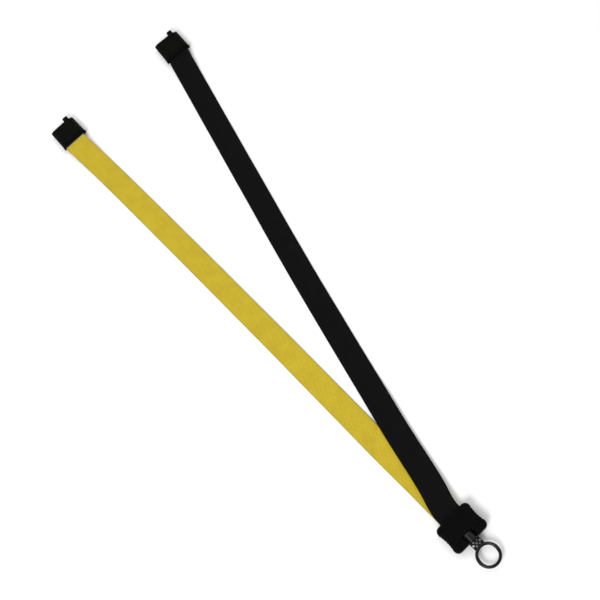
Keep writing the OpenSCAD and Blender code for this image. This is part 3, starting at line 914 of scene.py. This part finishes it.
def clipShell(name, front):
    middle = clip["thickness"] / 2
    side = 1 if front else -1
    loops = [
        [(x, y, middle + side * height) for x, y in clipOutline(inset)]
        for inset, height in clipLook["profile"]
    ]
    shell = loft(name, loops)
    # raised lip round the strap's mouth
    waist = clip["thickness"] / 2 - clip["bevel"]
    lipLoops = []
    for y, grow in clipLook["lip"]:
        x = clip["width"] / 2 + grow
        shoulder = waist + 0.4 * grow
        top = waist + y + grow
        slope = top - shoulder
        outline = [
            (-x, 0.05), (x, 0.05), (x, shoulder), (x - slope, top), (-x + slope, top), (-x, shoulder),
        ]
        lipLoops.append([(px, y, middle + side * pz) for px, pz in roundCorners(outline, 0.5)])
    combine(shell, [loft("lip", lipLoops)], "UNION")
    cut(shell, clipTools(front))
    return shell


clipFit = {
    "pegX": 7.7, "pegWidth": 6.0, "pegThickness": 4.0, "pegReach": 4.8, "pegFlange": 1.4,
    "foot": 6.9, "footLength": 2.8,  # the peg's foot starts this far inside the far end
    "notch": 0.5, "notchAt": 2.4, "tipCorner": 0.8,
    "slack": 0.1,
    "screwX": 8.0, "screwBack": 8.8, "recess": 1.95, "shank": 1.0, "pilot": 0.92,
    # width, height and place against the far end
    "socket": [(6.6, 4.6, -6.2), (6.6, 4.6, -0.9), (7.4, 5.4, -0.1), (7.4, 5.4, 1.0)],
    # width, length, x, distance from the far end, half the height
    "springSlot": (1.0, 5.6, -3.9, 3.4, 2.3),
    # width, length, y, height
    "barSeat": (22.2, 6.2, 7.0, 2.9),
}


def clipTools(front):
    z = clip["thickness"] / 2
    length = clip["length"]
    x = clip["strapX"]
    mouth = rectangle(webbing["width"] + 0.2, 1.8, x, z)
    flare = rectangle(webbing["width"] + 1.0, 2.8, x, z)
    channel = []
    for outline, y in ((mouth, clip["tipLength"] + 0.1), (mouth, 1.5), (flare, 0.5), (flare, -1.0)):
        channel.append([(px, y, pz) for px, pz in outline])
    tools = [loft("channel", channel)]
    wide = clipFit["pegWidth"] + 2 * clipFit["slack"]
    rise = clipFit["pegThickness"] / 2 + clipFit["slack"]
    foot = length - clipFit["foot"]
    slot = rectangle(wide, clipFit["foot"] + 1, clipFit["pegX"], (length + foot + 1) / 2)
    seat = rectangle(
        wide + 2 * clipFit["pegFlange"], clipFit["footLength"] + 2 * clipFit["slack"],
        clipFit["pegX"], foot + clipFit["footLength"] / 2,
    )
    tools.append(prism("pegSlot", slot, z - rise, z + rise))
    tools.append(prism("pegSeat", seat, z - rise, z + rise))
    loops = []
    for width, height, y in clipFit["socket"]:
        outline = rectangle(width, height, -clipFit["pegX"], z)
        loops.append([(px, length + y, pz) for px, pz in outline])
    tools.append(loft("socket", loops))
    width, reach, slotX, back, half = clipFit["springSlot"]
    tools.append(prism("springSlot", rectangle(width, reach, slotX, length - back), z - half, z + half))
    screwY = length - clipFit["screwBack"]
    for screwX in (-clipFit["screwX"], clipFit["screwX"]):
        if front:
            tools.append(pillar("pilot", clipFit["pilot"], z - 1, 8.0, screwX, screwY, 24))
        else:
            tools.append(pillar("recess", clipFit["recess"], -0.2, 1.5, screwX, screwY, 32))
            tools.append(pillar("shank", clipFit["shank"], 1.0, z + 1, screwX, screwY, 24))
    if front:
        width, reach, seatY, rise = clipFit["barSeat"]
        tools.append(prism("barSeat", rectangle(width, reach, x, seatY), z, z + rise))
    return tools


def clipPeg(name):
    half, wide = clipFit["pegWidth"] / 2, clipFit["pegWidth"] / 2 + clipFit["pegFlange"]
    z = clip["thickness"] / 2
    foot = clip["length"] - clipFit["foot"]
    neck = foot + clipFit["footLength"]
    tip = clip["length"] + clipFit["pegReach"]
    notch, bite = clip["length"] + clipFit["notchAt"], clipFit["notch"]
    corner = clipFit["tipCorner"]
    right = [
        (wide, foot), (wide, neck), (half, neck), (half, notch - bite), (half - bite, notch),
        (half, notch + bite), (half, tip - corner), (half - corner, tip),
    ]
    outline = [(clipFit["pegX"] + x, y) for x, y in right]
    outline += [(clipFit["pegX"] - x, y) for x, y in reversed(right)]
    rise = clipFit["pegThickness"] / 2
    return prism(name, outline, z - rise, z + rise)


def makeClip(colour):
    move, turn = clipPlaces[colour]
    body = f"{colour}_clip"
    pieces = (
        (clipShell(f"{colour}_clip_front_shell", True), f"{colour}_clip_cover", 0.14),
        (clipShell(f"{colour}_clip_back_shell", False), f"{colour}_clip_base", 0.14),
        (clipPeg(f"{colour}_clip_tongue"), f"{colour}_clip_peg", 0.35),
    )
    for piece, cadNode, width in pieces:
        soften(piece, width, 3, 38)
        place(piece, move, turn)
        finish(piece, "clip_plastic")
        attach(piece, body)
        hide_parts(cadNode)
    print(f"{colour} clip made")


makeClip("black")
makeClip("yellow")

# inner pieces keep their own shape and get a finish
for item in frame["record"]["subparts"]:
    cadObject = frame["nodes"][item["node"]]
    if not cadObject.hide_render:
        cadObject.data.materials.clear()
        cadObject.data.materials.append(materials[item["material_slot"]])
print("inner pieces finished")

# studio: white bowl, soft key from the left, broad fill opposite and a light past the clips
studio = {
    "floor": (0.93, 0.93, 0.93),
    "key": {"place": (-900, -350, 1150), "size": 700, "power": 15.5},
    "fill": {"place": (900, 900, 1500), "size": 1500, "power": 11},
    "back": {"place": (-500, 1500, 1300), "size": 1200, "power": 7},
    "world": 0.44,
}


def makeFloor():
    rings = [(0, 0), (1.2, 0), (1.8, 0.02), (2.3, 0.12), (2.7, 0.35), (3.0, 0.75), (3.1, 1.4), (3.1, 2.4)]
    steps = 96
    middle = Vector((0.07, 0.28, 0))
    shape = bmesh.new()
    centre = shape.verts.new(middle)
    rows = []
    for radius, height in rings[1:]:
        rim = circle(radius, 0, 0, steps)
        rows.append([shape.verts.new(middle + Vector((x, y, height))) for x, y in rim])
    for k in range(steps):
        j = (k + 1) % steps
        shape.faces.new((centre, rows[0][k], rows[0][j]))
        for low, high in zip(rows, rows[1:]):
            shape.faces.new((low[k], low[j], high[j], high[k]))
    bmesh.ops.recalc_face_normals(shape, faces=shape.faces)
    mesh = bpy.data.meshes.new("studio_floor")
    shape.to_mesh(mesh)
    shape.free()
    shadeSmooth(mesh)
    floor = linkMesh("studio_floor", mesh)
    material, nodes, links, shader = newMaterial("floorPaper")
    shader.inputs["Base Color"].default_value = (*studio["floor"], 1)
    shader.inputs["Roughness"].default_value = 0.9
    shader.inputs["Specular IOR Level"].default_value = 0.1
    mesh.materials.append(material)


def makeLight(name):
    values = studio[name]
    data = bpy.data.lights.new(name, "AREA")
    data.shape = "SQUARE"
    data.size = values["size"] * mm
    data.energy = values["power"]
    lamp = bpy.data.objects.new(name, data)
    bpy.context.scene.collection.objects.link(lamp)
    location = Vector(values["place"]) * mm
    lamp.location = location
    lamp.rotation_euler = (Vector((0.06, 0.2, 0)) - location).to_track_quat("-Z", "Y").to_euler()
    lamp.visible_camera = False


makeFloor()
for lightName in ("key", "fill", "back"):
    makeLight(lightName)
world = bpy.data.worlds.new("studioWorld")
world.use_nodes = True
world.node_tree.nodes["Background"].inputs["Color"].default_value = (1, 1, 1, 1)
world.node_tree.nodes["Background"].inputs["Strength"].default_value = studio["world"]
bpy.context.scene.world = world
bpy.context.scene.view_settings.view_transform = "Standard"
print("studio made")
